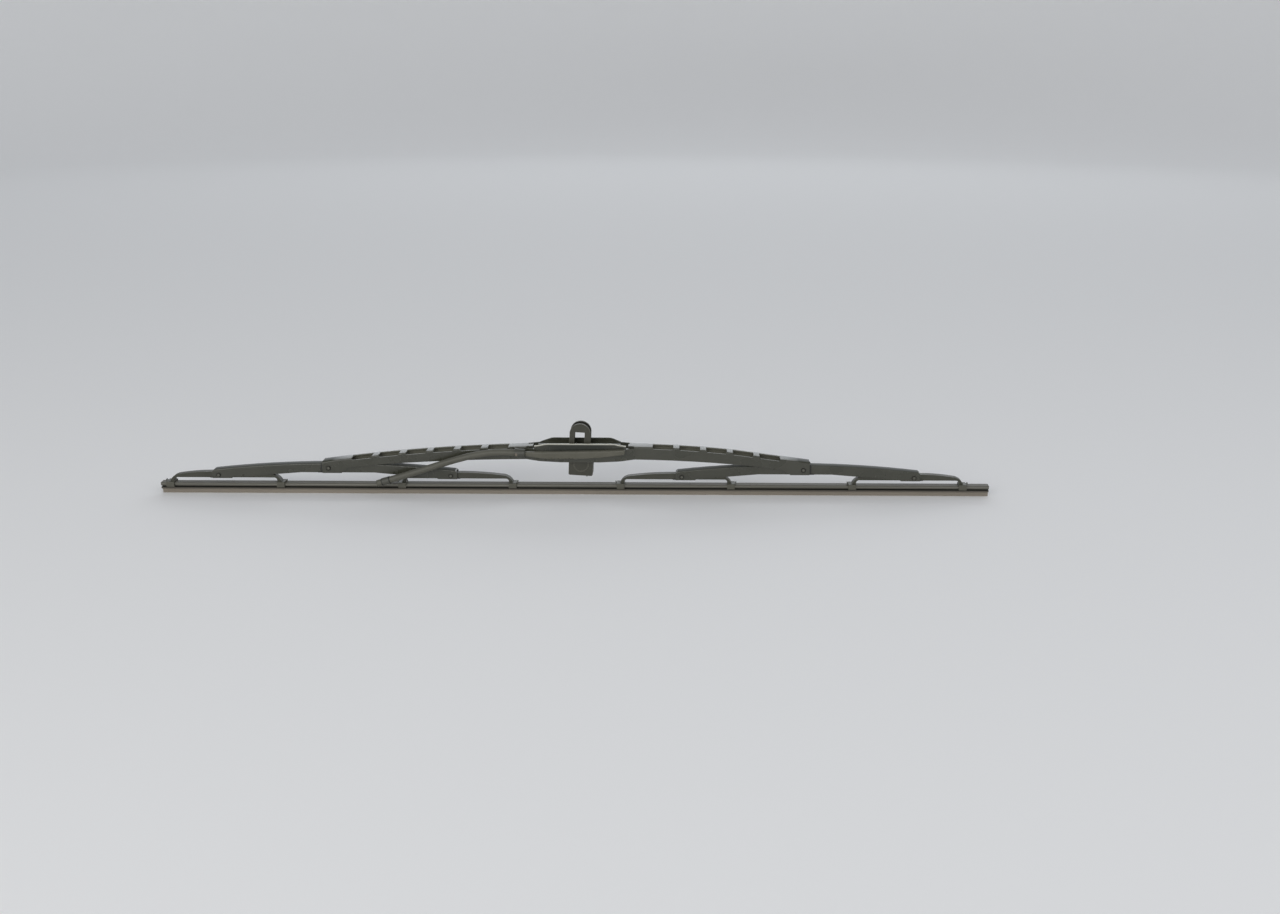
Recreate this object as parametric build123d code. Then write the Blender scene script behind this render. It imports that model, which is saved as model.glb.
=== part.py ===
"""Bracket wiper blade for a truck, with a pivoting arm clip, a spray bar and its washer hose.

Frame: the origin is the middle of the arm pin, +X runs along the blade, -Y is the side that carries
the spray bar, and +Z points away from the glass. The levers are laid out by their distance from the
lever centre, which lies a little to the left of the pin. All sizes are in millimetres.
"""
import os
from math import radians, tan

from build123d import *

# Blade layout along X
blade_length = 650.0
overhang_left = 7.8
overhang_right = 20.7
lever_centre = -11.6
outer_arm = 86.9
inner_arm = 94.9
main_end = 4.8
lever_end = 4.8
claw_reach_long = 48.0
claw_reach_short = 38.6

# Heights of the pivots, of the claws' feet and of the rubber
main_pivot_z = -13.0
yoke_pivot_z = -19.55
foot_top_z = -25.2
head_gap = 0.2

# Sheet metal and the widths that nest inside each other
main_width = 11.0
main_sheet = 1.0
lever_sheet = 0.9
yoke_sheet = 0.8
main_bush_wall = 0.5
yoke_bush_wall = 0.4
side_clearance = 0.15
fold_radius = 0.8
bush_setback = 1.0
bush_roof_gap = 3.0
bush_lip = 1.3
bush_toe = 2.6
bush_toe_height = 1.0

# Main bridge: side view of the arms
crown_z = 5.4
left_end_z = -8.0
right_end_z = -7.3
left_bow = 2.5
right_bow = 1.0
right_knee_x = 117.0
right_knee_z = 1.1
arm_bottom_z = -4.8
arm_bottom_bow = 1.0
arm_tail_run = 24.4
arm_tail_z = -9.8
boss_neck_run = 5.5
boss_neck_z = -12.6
main_boss_half = 10.0
main_boss_drop = 4.0

# Main bridge: boat-shaped middle that shields the arm clip
boat_width = 18.0
boat_half = 31.0
boat_end = 42.0
boat_round = 14.0
shoulder_z = 4.0
flank_z = 5.2
rim_z = 8.7
near_rim_foot = 37.0
near_rim_foot_z = 6.3
near_rim_half = 26.5
near_rim_round = 28.0
far_rim_foot_left = 33.2
far_rim_foot_right = 31.2
far_rim_half = 23.2
far_rim_round = 9.0
keel_round = 20.0
keel_half = 15.0
keel_z = -6.2
ledge_outer_z = 5.4
ledge_inner_z = 4.3
window_half = 27.0
window_clearance = 0.35
near_relief_start = 35.6
near_relief_length = 6.2
near_relief_inner = 3.4
far_relief_left = 33.8
far_relief_right = 30.6
far_relief_length = 7.3
far_relief_inner = 2.2

# Main bridge: row of wind slots along the near top edge
slot_start = 55.6
slot_length = 17.0
left_slot_pitch = 21.3
right_slot_pitch = 20.8
slot_drop = 1.6
slot_slant = 1.1
slot_round = 0.9
slot_land = 2.5
slot_end_room = 15.0

# Arm pin and clip
pin_radius = 2.2
pin_head_radius = 3.6
pin_head_height = 0.9
pin_head_chamfer = 0.3
run_clearance = 0.05
clip_width = 9.7
clip_lean = 3.3
clip_top_z = 23.6
clip_arch_radius = 8.1
clip_arch_x = -0.85
clip_leg_gap = 8.0
clip_gap_x = -1.3
clip_gap_top_z = 16.7
clip_gap_bottom_z = 5.0
clip_block_half = 9.4
clip_block_x = 0.65
clip_block_top_z = 2.0
clip_bottom_z = -18.2
clip_cheek = 1.6
clip_floor_z = 4.2
clip_hub_radius = 4.0
clip_corner = 1.2
ring_radius = 5.7
ring_z = -9.0
ring_groove = 0.5
ring_depth = 0.3
gate_x = 5.3
gate_radius = 0.45
gate_length = 2.0

# Secondary levers: side view
lever_top_outer_z = -15.2
lever_top_mid_z = -9.7
lever_top_inner_z = -15.2
lever_boss_drop = 2.6
lever_boss_half = 10.0
lever_boss_step = 1.8
lever_waist_z = -17.0
lever_waist_outer = 22.0
lever_waist_inner = 35.0
lever_end_chamfer = 1.4

# Claw yokes: side view and claws
yoke_top_z = -17.3
yoke_tip_top_z = -19.5
yoke_bottom_z = -22.0
yoke_boss_half = 5.0
yoke_boss_slope = 1.0
yoke_boss_drop = 2.4
neck_back = 6.3
neck_foot = 0.4
neck_heel = 2.95
neck_bulge = 1.1
neck_round = 2.1
neck_crook_rise = 0.85
claw_length = 6.0
claw_sheet = 0.8
claw_wall = 0.9
claw_corner = 0.65
claw_side_gap = 0.25
claw_height = 4.35
finger_thick = 0.7
finger_gap = 0.4
toe_length = 1.2
toe_rise = 1.1
toe_half = 1.3

# Rivets
main_rivet_radius = 1.2
main_rivet_head_radius = 2.0
yoke_rivet_radius = 0.95
yoke_rivet_head_radius = 1.85
rivet_head_height = 0.6
rivet_head_round = 0.45
rivet_dimple = 0.35
rivet_dimple_wall = 0.2

# Rubber element and its two backing strips
head_width = 6.6
head_height = 2.5
neck_width = 2.2
neck_height = 1.2
shoulder_width = 6.0
shoulder_height = 1.1
shoulder_slope = 1.2
lip_root_width = 1.8
lip_tip_width = 1.0
lip_height = 3.2
strip_thick = 0.8
strip_width = 1.8
strip_inset = 2.0
strip_gap = 0.05

# Spray bar on the near wall
bar_left = -42.1
bar_right = 35.4
bar_thick = 3.6
bar_tail_top_z = 2.8
bar_tail_bottom_z = -0.2
bar_nose_top_z = 4.6
bar_nose_bottom_z = 1.0
bar_nose_slant = 0.8
bar_top_sag = 0.3
bar_belly_x = -12.0
bar_belly_z = -2.7
bar_right_sag = 1.0
bar_left_sag = 1.0
bar_nose_round = 1.2
bar_edge_round = 0.8
nozzle_count = 7
nozzle_first_x = -22.0
nozzle_pitch = 2.8
nozzle_radius = 0.4
nozzle_depth = 1.0
nozzle_z = -1.8

# Washer hose: route of its centre line from the spray bar to the open end, chosen by hand
hose_route = [
    (-42.4, -11.0, 1.5),
    (-61.0, -11.2, 3.0),
    (-79.5, -11.0, 0.6),
    (-99.0, -10.8, -4.6),
    (-118.0, -10.5, -11.2),
    (-139.9, -10.1, -18.3),
    (-158.3, -9.8, -23.9),
]
hose_diameter = 5.2
hose_bore = 3.2
nipple_clearance = 0.05
nipple_length = 8.0
collar_wall = 0.85
collar_length = 7.7
sleeve_wall = 0.35
sleeve_start = 4.0
sleeve_length = 6.8
arc_share = 0.45

# Worked-out widths, from the outer lever inwards
main_half = main_width / 2
main_inner = main_half - main_sheet
lever_half = main_inner - main_bush_wall - side_clearance
lever_inner = lever_half - lever_sheet
yoke_half = lever_inner - yoke_bush_wall - side_clearance
yoke_inner = yoke_half - yoke_sheet
boat_outer = boat_width / 2
boat_inner = boat_outer - main_sheet
window_side = clip_width / 2 + window_clearance
main_boss_z = main_pivot_z - main_boss_drop
claw_inner = head_width / 2 + claw_side_gap
claw_outer = claw_inner + claw_wall
head_top_z = foot_top_z - claw_sheet - head_gap

# Worked-out places along the blade, from the rubber's ends inwards
outer_yoke_reach = (blade_length - overhang_left - overhang_right) / 2 - claw_reach_short
main_pivot_reach = outer_yoke_reach - outer_arm
inner_yoke_reach = main_pivot_reach - inner_arm
main_end_reach = main_pivot_reach + main_end
left_end_x = lever_centre - main_end_reach
right_end_x = lever_centre + main_end_reach
rubber_left = lever_centre - outer_yoke_reach - claw_reach_short - overhang_left

# Reach of cutters past the part, and how near is the same place
far = 200.0
same = 0.01


def face_of(*curves):
    """A flat face inside a closed row of curves."""
    return make_face([edge for curve in curves for edge in curve.edges()])


def side_plate(face, half):
    """A face drawn as (x, z), extruded evenly across the blade."""
    return extrude(Plane.XZ * face, amount=half, both=True)


def side_polygon(points, half):
    """The same, from a row of corner points."""
    return side_plate(face_of(Polyline(*points, close=True)), half)


def block(x0, x1, y0, y1, z0, z1):
    """A box from its lowest to its highest corner."""
    centre = Pos((x0 + x1) / 2, (y0 + y1) / 2, (z0 + z1) / 2)
    return centre * Box(x1 - x0, y1 - y0, z1 - z0)


def cross_cylinder(x, z, radius, y0, y1):
    """A cylinder across the blade, from y0 to y1."""
    return Pos(x, (y0 + y1) / 2, z) * Rot(90, 0, 0) * Cylinder(radius, y1 - y0)


def bowed(a, b, rise):
    """An arc from a to b whose middle stands above the straight line by rise."""
    middle = ((a[0] + b[0]) / 2, (a[1] + b[1]) / 2 + rise)
    return ThreePointArc(a, middle, b)


def bowed_z(a, b, rise, x):
    """Height of that arc at x, near enough as a parabola."""
    share = (x - a[0]) / (b[0] - a[0])
    return a[1] + (b[1] - a[1]) * share + 4 * rise * share * (1 - share)


def main_top(x):
    """Height of the main bridge's web at x, outside the boat-shaped middle."""
    if x < 0:
        return bowed_z((left_end_x, left_end_z), (-near_rim_foot, crown_z), left_bow, x)
    if x < right_knee_x:
        return bowed_z((near_rim_foot, crown_z), (right_knee_x, right_knee_z), right_bow, x)
    share = (x - right_knee_x) / (right_end_x - right_knee_x)
    return right_knee_z + (right_end_z - right_knee_z) * share


def on_side(side, reach):
    """X of a point at this distance from the lever centre, side -1 for left and 1 for right."""
    return lever_centre + side * reach


def placed(shape, side):
    """A shape drawn at the right of the lever centre, moved to its side of the blade."""
    turned = shape if side > 0 else mirror(shape, about=Plane.YZ)
    return Pos(lever_centre, 0, 0) * turned


def arm_face(side):
    """Side view of one arm of the main bridge, from inside the middle to its end."""
    foot = (side * near_rim_foot, crown_z)
    if side < 0:
        end = (left_end_x, left_end_z)
        top = [bowed(foot, end, left_bow)]
    else:
        end = (right_end_x, right_end_z)
        knee = (right_knee_x, right_knee_z)
        top = [bowed(foot, knee, right_bow), Line(knee, end)]
    boss = on_side(side, main_pivot_reach - main_boss_half)
    neck = boss - side * boss_neck_run
    tail = (neck - side * arm_tail_run, arm_tail_z)
    root = (side * boat_end, arm_bottom_z)
    lower = [end, (end[0], main_boss_z), (boss, main_boss_z), (neck, boss_neck_z), tail]
    inside = [root, (side * boat_half, arm_bottom_z), (side * boat_half, crown_z), foot]
    return face_of(*top, Polyline(*lower), bowed(tail, root, arm_bottom_bow), Polyline(*inside))


def both_sides(points):
    """A row of points and its mirror image about X = 0, in one run from left to right."""
    return [(-x, z) for x, z in points] + [(x, z) for x, z in reversed(points)]


def boat_face():
    """Side view of the boat-shaped middle, with the long gentle rim of the near side."""
    keel = both_sides([(boat_end, arm_bottom_z), (keel_half, keel_z)])
    low = both_sides([(boat_end, arm_bottom_z), (boat_end, flank_z), (near_rim_foot, flank_z)])
    rim = both_sides([(near_rim_foot, flank_z), (near_rim_foot, near_rim_foot_z), (near_rim_half, rim_z)])
    half = len(low) // 2
    radii = [same, near_rim_round, near_rim_round, same]
    return face_of(
        FilletPolyline(*keel, radius=keel_round),
        Polyline(*low[:half]),
        FilletPolyline(*rim, radius=radii),
        Polyline(*low[half:]),
    )


def far_rim_cut():
    """Room above the far rim, which is shorter and steeper than the near one."""
    top = [(-far_rim_half, rim_z), (far_rim_half, rim_z)]
    edge = [(-far_rim_foot_left, flank_z), *top, (far_rim_foot_right, flank_z)]
    over = [(boat_end, flank_z), (boat_end, far), (-boat_end, far), (-boat_end, flank_z)]
    face = face_of(
        FilletPolyline(*edge, radius=far_rim_round),
        Polyline(edge[-1], *over, edge[0]),
    )
    return extrude(Plane.XZ * face, amount=-far)


def boat_plan(inset):
    """Plan view of the boat-shaped middle, set in by the sheet."""
    arm = main_half - inset
    boat = boat_outer - inset
    quarter = [(boat_end, arm), (boat_half, boat)]
    top = quarter + [(-x, y) for x, y in reversed(quarter)]
    outline = top + [(x, -y) for x, y in reversed(top)]
    face = face_of(Polyline(*outline, close=True))
    corners = [corner for corner in face.vertices() if abs(abs(corner.Y) - boat) < same]
    return extrude(fillet(corners, boat_round), amount=far, both=True)


def cross_prism(points, x0, x1):
    """A shape drawn as (y, z), extruded along the blade from x0 to x1."""
    face = face_of(Polyline(*points, close=True))
    return Pos(x0, 0, 0) * extrude(Plane.YZ * face, amount=x1 - x0)


def wind_slots():
    """Cutters of the slots: through the web and a little way down the near wall."""
    cutters = []
    for side, pitch in ((-1, left_slot_pitch), (1, right_slot_pitch)):
        room = abs(on_side(side, main_end_reach)) - slot_end_room - slot_start - slot_length
        for number in range(int(room // pitch) + 1):
            near = side * (slot_start + pitch * number)
            out = near + side * slot_length
            slant = side * slot_slant
            low = [(x, main_top(x) - slot_drop) for x in (near + slant, out - slant)]
            high = [(x, main_top(x) + main_sheet) for x in (out, near)]
            face = face_of(Polyline(*low, *high, close=True))
            corners = [corner for corner in face.vertices() if corner.Y < main_top(corner.X)]
            face = fillet(corners, slot_round)
            width = main_width - slot_land + main_sheet
            cutters.append(Pos(0, main_half - slot_land, 0) * extrude(Plane.XZ * face, amount=width))
    return cutters


def long_top_edges(shape, half, low_z):
    """Outer top edges of a channel: the edges on its two side faces that stand above low_z."""
    edges = ShapeList()
    for edge in shape.edges():
        middle = edge.position_at(0.5)
        level = abs(edge.position_at(0).Y - edge.position_at(1).Y) < same
        if level and abs(abs(middle.Y) - half) < same and middle.Z > low_z(middle.X):
            edges.append(edge)
    return edges


def make_arm(side):
    """One arm of the main bridge: a channel, open below, with folded top edges."""
    arm = side_plate(arm_face(side), main_half)
    return fillet(long_top_edges(arm, main_half, lambda x: main_top(x) - main_sheet), fold_radius)


def make_main_bridge():
    """Pressed steel bridge: two arms and a boat-shaped middle with rims, a window and ledges."""
    bridge = side_plate(boat_face(), far) & boat_plan(0)
    bridge -= far_rim_cut()
    for side in (-1, 1):
        bridge += make_arm(side)
    roof = [(-boat_inner, ledge_outer_z), (-window_side, ledge_inner_z)]
    roof += [(-y, z) for y, z in reversed(roof)]
    trough = [(-boat_inner, far), *roof, (boat_inner, far)]
    under = [(y, z - main_sheet) for y, z in roof]
    hollow = [(-boat_inner, -far), *under, (boat_inner, -far)]
    inside = boat_plan(main_sheet)
    bridge -= cross_prism(trough, -near_rim_foot, near_rim_foot) & inside
    bridge -= cross_prism(hollow, -boat_end, boat_end) & inside
    for side in (-1, 1):
        bridge -= Pos(0, 0, -main_sheet) * side_plate(arm_face(side), main_inner)
    bridge -= block(-window_half, window_half, -window_side, window_side, 0, far)
    hub_room = clip_hub_radius + window_clearance
    bridge -= block(-hub_room, hub_room, -boat_inner, boat_inner, 0, far)
    for side in (-1, 1):
        x0, x1 = sorted((side * near_relief_start, side * (near_relief_start + near_relief_length)))
        bridge -= block(x0, x1, -far, -near_relief_inner, shoulder_z, far)
        start = far_relief_left if side < 0 else far_relief_right
        x0, x1 = sorted((side * start, side * (start + far_relief_length)))
        bridge -= block(x0, x1, far_relief_inner, boat_inner, 0, far) & inside
        pivot_x = on_side(side, main_pivot_reach)
        bridge -= cross_cylinder(pivot_x, main_pivot_z, main_rivet_radius, -far, far)
    bridge -= wind_slots()
    bridge -= cross_cylinder(0, 0, pin_radius, -far, far)
    return bridge


def make_centre_pin():
    shank = cross_cylinder(0, 0, pin_radius, -boat_outer, boat_outer)
    head = cross_cylinder(0, 0, pin_head_radius, boat_outer, boat_outer + pin_head_height)
    head = chamfer(head.edges().group_by(Axis.Y)[-1], pin_head_chamfer)
    return shank + head


def make_clip():
    """Upright arm clip: a block on the pin and two arched cheeks with a gap between the legs."""
    half = clip_width / 2
    arch_z = clip_top_z - clip_arch_radius
    left, right = clip_arch_x - clip_arch_radius, clip_arch_x + clip_arch_radius
    legs = face_of(
        Polyline((right, arch_z), (right, 0), (left, 0), (left, arch_z)),
        ThreePointArc((left, arch_z), (clip_arch_x, clip_top_z), (right, arch_z)),
    )
    x0, x1 = clip_block_x - clip_block_half, clip_block_x + clip_block_half
    foot = block(x0, x1, -half, half, clip_bottom_z, clip_block_top_z)
    foot = fillet(foot.edges().filter_by(Axis.Y), clip_corner)
    clip = side_plate(legs, half) + foot
    channel = half - clip_cheek
    clip -= block(-far, far, -channel, channel, clip_floor_z, far)
    x0, x1 = clip_gap_x - clip_leg_gap / 2, clip_gap_x + clip_leg_gap / 2
    clip -= block(x0, x1, -far, far, clip_gap_bottom_z, clip_gap_top_z)
    for side in (-1, 1):
        face = side * half
        ring_outer = ring_radius + ring_groove / 2
        ring = Cylinder(ring_outer, 2 * ring_depth) - Cylinder(ring_outer - ring_groove, 2 * ring_depth)
        clip -= Pos(clip_block_x, face, ring_z) * Rot(90, 0, 0) * ring
    hub = boat_inner - side_clearance
    clip += cross_cylinder(0, 0, clip_hub_radius, -hub, hub)
    clip += Pos(gate_x, 0, clip_bottom_z) * Cylinder(gate_radius, 2 * gate_length)
    clip -= cross_cylinder(0, 0, pin_radius + run_clearance, -far, far)
    return Rot(0, clip_lean, 0) * clip


def lever_face(cut):
    """Side view of a secondary lever, drawn by distance from the lever centre; cut is its end chamfer."""
    inner_x = inner_yoke_reach - lever_end
    outer_x = outer_yoke_reach + lever_end
    top = ThreePointArc(
        (inner_x + cut, lever_top_inner_z),
        (main_pivot_reach, lever_top_mid_z),
        (outer_x - cut, lever_top_outer_z),
    )
    boss_z = yoke_pivot_z - lever_boss_drop
    outer_boss = outer_yoke_reach - lever_boss_half
    inner_boss = inner_yoke_reach + lever_boss_half
    bottom = [
        (outer_x, boss_z),
        (outer_boss, boss_z),
        (outer_boss - lever_boss_step, boss_z + lever_sheet),
        (main_pivot_reach + lever_waist_outer, lever_waist_z),
        (main_pivot_reach - lever_waist_inner, lever_waist_z),
        (inner_boss + lever_boss_step, boss_z + lever_sheet),
        (inner_boss, boss_z),
        (inner_x, boss_z),
    ]
    if cut:
        bottom = [(outer_x, lever_top_outer_z - cut)] + bottom + [(inner_x, lever_top_inner_z - cut)]
    return face_of(top, Polyline(top @ 1, *bottom, top @ 0))


def make_lever(side):
    """Secondary lever: an arched channel that hangs from the main rivet and carries two yokes."""
    outer = side_plate(lever_face(lever_end_chamfer), lever_half)
    outer = fillet(long_top_edges(outer, lever_half, lambda x: lever_top_inner_z), fold_radius)
    hollow = Pos(0, 0, -lever_sheet) * side_plate(lever_face(0), lever_inner)
    lever = outer - hollow
    lever -= cross_cylinder(
        main_pivot_reach, main_pivot_z, main_rivet_radius + run_clearance, -far, far)
    for reach in (inner_yoke_reach, outer_yoke_reach):
        lever -= cross_cylinder(reach, yoke_pivot_z, yoke_rivet_radius, -far, far)
    return placed(lever, side)


def yoke_arm(reach, side):
    """Edge of one arm of a yoke, from its top round the neck and the claw's foot to the pivot boss."""
    tip = (side * (reach - neck_back), yoke_tip_top_z)
    toe = (side * (reach + neck_foot), foot_top_z)
    heel = (side * (reach - neck_heel), foot_top_z + claw_sheet)
    crook = (side * (reach - neck_heel - neck_round), yoke_bottom_z)
    lean = (Vector(*toe) - Vector(*tip)).normalized()
    outside = Vector(-side * lean.Y, side * lean.X)
    middle = (Vector(*tip) + Vector(*toe)) / 2 + outside * neck_bulge
    foot = [toe, (toe[0], foot_top_z - claw_sheet), (heel[0], foot_top_z - claw_sheet), heel]
    boss = [crook, (side * (yoke_boss_half + yoke_boss_slope), yoke_bottom_z)]
    boss.append((side * yoke_boss_half, yoke_pivot_z - yoke_boss_drop))
    inner = bowed(heel, crook, neck_crook_rise)
    return [ThreePointArc(tip, middle, toe), Polyline(*foot), inner, Polyline(*boss)], tip, boss[-1]


def yoke_face():
    """Side view of a yoke about its pivot, with the long arm on the left."""
    short, short_tip, short_boss = yoke_arm(claw_reach_short, 1)
    long, long_tip, long_boss = yoke_arm(claw_reach_long, -1)
    crown = (0, yoke_top_z)
    top = [bowed(long_tip, crown, yoke_sheet), bowed(crown, short_tip, yoke_sheet)]
    return face_of(*top, *short, *long, Line(short_boss, long_boss))


def make_claw(reach):
    """A claw: a foot on the rubber's back with two walls that turn in under its head."""
    top = foot_top_z
    wall_foot = top - claw_height
    finger_end = neck_width / 2 + finger_gap
    half = [
        (claw_outer, top),
        (claw_outer, wall_foot),
        (finger_end, wall_foot),
        (finger_end, wall_foot + finger_thick),
        (claw_inner, wall_foot + finger_thick),
        (claw_inner, top - claw_sheet),
    ]
    outline = half + [(-y, z) for y, z in reversed(half)]
    direction = 1 if reach > 0 else -1
    claw = cross_prism(outline, reach - claw_length / 2, reach + claw_length / 2)
    corners = [
        edge for edge in claw.edges().filter_by(Axis.X)
        if abs(abs(edge.center().Y) - claw_outer) < same
    ]
    claw = fillet(corners, claw_corner)
    edge_x = reach + direction * claw_length / 2
    toe = [
        (edge_x, top),
        (edge_x + direction * toe_length, top + toe_rise),
        (edge_x + direction * toe_length, top + toe_rise - claw_sheet),
        (edge_x, top - claw_sheet),
    ]
    return claw + side_polygon(toe, toe_half)


def make_yoke(side, pivot):
    """Claw yoke: a small channel with a gooseneck and a claw at each end, long arm inwards."""
    outer = side_plate(yoke_face(), yoke_half)
    hollow = side_plate(yoke_face(), yoke_inner)
    back = neck_back + yoke_sheet
    room = block(-claw_reach_long + back, claw_reach_short - back, -far, far, -far, far)
    yoke = outer - (Pos(0, 0, -yoke_sheet) * hollow & room)
    yoke += make_claw(-claw_reach_long)
    yoke += make_claw(claw_reach_short)
    yoke -= cross_cylinder(0, yoke_pivot_z, yoke_rivet_radius + run_clearance, -far, far)
    return placed(Pos(pivot, 0, 0) * yoke, side)


def saddle(face, inner, sheet, wall, x0, x1, roof_x):
    """Plastic lining of a channel from x0 to x1: two cheeks, and a roof under the web as far as roof_x."""
    body = side_plate(face, inner)
    lining = body & Pos(0, 0, -sheet) * body
    lining -= Pos(0, 0, -sheet - wall) * side_plate(face, inner - wall)
    lining -= block(min(roof_x, x1), max(roof_x, x1), wall - inner, inner - wall, -far, far)
    return lining & block(min(x0, x1), max(x0, x1), -far, far, -far, far)


def bush_end(points, inner, wall):
    """The part of a bush that shows past its lever's end: two cheeks with this side view."""
    return side_polygon(points, inner) - side_polygon(points, inner - wall)


def make_main_bush(side):
    """Plastic saddle in the end of the main bridge, which the secondary lever turns in."""
    start = on_side(side, main_pivot_reach - main_boss_half + bush_setback)
    end = on_side(side, main_end_reach)
    roof = on_side(side, main_pivot_reach - bush_roof_gap)
    bush = saddle(arm_face(side), main_inner, main_sheet, main_bush_wall, start, end, roof)
    lip_x = end + side * bush_lip
    roof_z = main_top(end) - main_sheet
    lip = [
        (end, roof_z),
        (lip_x, roof_z - bush_lip),
        (lip_x, main_boss_z + bush_toe_height),
        (lip_x + side * bush_toe, main_boss_z),
        (end, main_boss_z),
    ]
    bush += bush_end(lip, main_inner, main_bush_wall)
    return bush - cross_cylinder(
        on_side(side, main_pivot_reach), main_pivot_z, main_rivet_radius, -far, far)


def make_yoke_bush(side, reach, outward):
    """Plastic saddle in the end of a secondary lever, which a yoke turns in."""
    end = reach + outward * (lever_end - lever_end_chamfer)
    start = reach - outward * lever_end
    roof = reach - outward * bush_roof_gap
    bush = saddle(lever_face(0), lever_inner, lever_sheet, yoke_bush_wall, start, end, roof)
    boss_z = yoke_pivot_z - lever_boss_drop
    toe = [
        (end, boss_z + bush_toe_height),
        (reach + outward * lever_end, boss_z + bush_toe_height),
        (reach + outward * (lever_end + bush_toe), boss_z),
        (end, boss_z),
    ]
    bush += bush_end(toe, lever_inner, yoke_bush_wall)
    bush -= cross_cylinder(reach, yoke_pivot_z, yoke_rivet_radius, -far, far)
    return placed(bush, side)


def make_rivet(x, z, radius, head_radius, half):
    """Hinge rivet across two walls, with a dimpled head at each end."""
    rivet = cross_cylinder(x, z, radius, -half, half)
    for side in (-1, 1):
        tip = side * (half + rivet_head_height)
        head = cross_cylinder(x, z, head_radius, min(side * half, tip), max(side * half, tip))
        rim = [edge for edge in head.edges() if abs(edge.center().Y - tip) < same]
        rivet += fillet(rim, rivet_head_round)
        dimple = Cylinder(radius - rivet_dimple_wall, 2 * rivet_dimple)
        rivet -= Pos(x, tip, z) * Rot(90, 0, 0) * dimple
    return rivet


def rubber_outline():
    """Section of the rubber: a grooved head, a thin neck, a shoulder and the wiping lip."""
    head = head_width / 2
    neck = neck_width / 2
    groove_top = head_top_z - (head_height - strip_thick) / 2 + strip_gap
    groove_bottom = groove_top - strip_thick - 2 * strip_gap
    groove_end = head - strip_inset
    neck_top = head_top_z - head_height
    neck_foot_z = neck_top - neck_height
    slope_top = neck_foot_z - shoulder_height
    lip_top = slope_top - shoulder_slope
    half = [
        (head, head_top_z),
        (head, groove_top),
        (groove_end, groove_top),
        (groove_end, groove_bottom),
        (head, groove_bottom),
        (head, neck_top),
        (neck, neck_top),
        (neck, neck_foot_z),
        (shoulder_width / 2, neck_foot_z),
        (shoulder_width / 2, slope_top),
        (lip_root_width / 2, lip_top),
        (lip_tip_width / 2, lip_top - lip_height),
    ]
    return half + [(-y, z) for y, z in reversed(half)]


def make_rubber():
    return cross_prism(rubber_outline(), rubber_left, rubber_left + blade_length)


def make_strip(side):
    """Spring-steel strip in one side groove of the rubber's head."""
    middle_z = head_top_z - head_height / 2
    inner = head_width / 2 - strip_inset + strip_gap
    outer = inner + strip_width
    y0, y1 = sorted((side * inner, side * outer))
    half = strip_thick / 2
    return block(rubber_left, rubber_left + blade_length, y0, y1, middle_z - half, middle_z + half)


def hose_path():
    """The hose's route as straight runs joined by the largest arcs that fit."""
    points = [Vector(*point) for point in hose_route]
    radii = []
    for before, corner, after in zip(points, points[1:], points[2:]):
        turn = (corner - before).get_angle(after - corner)
        run = min((corner - before).length, (after - corner).length)
        radii.append(arc_share * run / tan(radians(turn / 2)))
    print("hose arc radii:", [round(radius, 1) for radius in radii])
    return FilletPolyline(*points, radius=radii)


def make_hose():
    path = hose_path()
    start = Plane(path @ 0, z_dir=path % 0)
    section = start * (Circle(hose_diameter / 2) - Circle(hose_bore / 2))
    hose = sweep(section, path=path)
    share = hose.volume / (section.area * path.length)
    print("hose length:", round(path.length, 2), "volume share:", round(share, 4))
    return hose


def along_hose(from_end):
    """Plane square to the hose, at its spray-bar end or at its open end, facing along it."""
    points = [Vector(*point) for point in hose_route]
    if from_end:
        return Plane(points[-1], z_dir=points[-2] - points[-1])
    return Plane(points[0], z_dir=points[1] - points[0])


def hose_ring(plane, start, length, wall):
    """A band round the hose, this far along it."""
    bore = hose_diameter / 2
    band = Cylinder(bore + wall, length) - Cylinder(bore, length)
    return plane * Pos(0, 0, start + length / 2) * band


def make_spray_bar():
    """Moulded bar with a row of nozzles, tapering to the nipple that the hose is pushed on."""
    near = -boat_outer
    tail_top, tail_bottom = (bar_left, bar_tail_top_z), (bar_left, bar_tail_bottom_z)
    nose_top, nose_bottom = (bar_right, bar_nose_top_z), (bar_right - bar_nose_slant, bar_nose_bottom_z)
    belly = (bar_belly_x, bar_belly_z)
    face = face_of(
        bowed(tail_top, nose_top, -bar_top_sag),
        Line(nose_top, nose_bottom),
        bowed(nose_bottom, belly, -bar_right_sag),
        bowed(belly, tail_bottom, -bar_left_sag),
        Line(tail_bottom, tail_top),
    )
    nose = [corner for corner in face.vertices() if corner.X > nose_bottom[0] - same]
    face = fillet(nose, bar_nose_round)
    bar = Pos(0, near, 0) * extrude(Plane.XZ * face, amount=bar_thick)
    front = [edge for edge in bar.edges() if abs(edge.center().Y - near + bar_thick) < same]
    bar = fillet(front, bar_edge_round)
    for number in range(nozzle_count):
        place = Pos(nozzle_first_x + nozzle_pitch * number, near - bar_thick, nozzle_z)
        bar -= place * Rot(90, 0, 0) * Cylinder(nozzle_radius, 2 * nozzle_depth)
    entry = along_hose(False)
    radius = hose_bore / 2 - nipple_clearance
    stem = abs(hose_route[0][0] - bar_left) + bar_thick
    nipple = Pos(0, 0, (nipple_length - stem) / 2) * Cylinder(radius, nipple_length + stem)
    return bar + entry * nipple


os.makedirs("parts", exist_ok=True)


def save(name, shape):
    export_step(shape, f"parts/{name}.step")


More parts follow.
